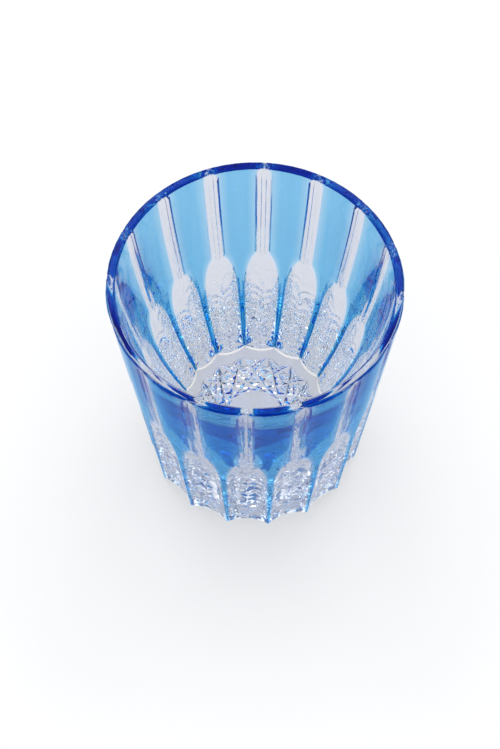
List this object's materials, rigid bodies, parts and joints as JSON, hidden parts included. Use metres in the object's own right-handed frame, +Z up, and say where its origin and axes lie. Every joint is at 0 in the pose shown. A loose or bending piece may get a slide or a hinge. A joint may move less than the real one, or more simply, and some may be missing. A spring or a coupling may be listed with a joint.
{
  "type": "whisky glass",
  "caption": "Tapered whisky tumbler of thick clear glass, cased in blue and cut into upright panels, with hollow flutes round the foot and a star cut under the base.",
  "frame": {"origin": "middle of the underside, in the plane that the glass stands on", "axes": "+Z up along the axis of the glass; one of the upright cuts lies on +Y and one on +X"},
  "size_m": [0.0856, 0.0856, 0.0889],
  "materials": {
    "clear_glass": "polished clear crystal",
    "blue_glass": "polished transparent blue casing"
  },
  "bodies": {
    "root": {"clear_body": "clear_glass", "blue_panel_01": "blue_glass", "blue_panel_02": "blue_glass", "blue_panel_03": "blue_glass", "blue_panel_04": "blue_glass", "blue_panel_05": "blue_glass", "blue_panel_06": "blue_glass", "blue_panel_07": "blue_glass", "blue_panel_08": "blue_glass", "blue_panel_09": "blue_glass", "blue_panel_10": "blue_glass", "blue_panel_11": "blue_glass", "blue_panel_12": "blue_glass", "blue_panel_13": "blue_glass", "blue_panel_14": "blue_glass", "blue_panel_15": "blue_glass", "blue_panel_16": "blue_glass"}
  },
  "joints": []
}
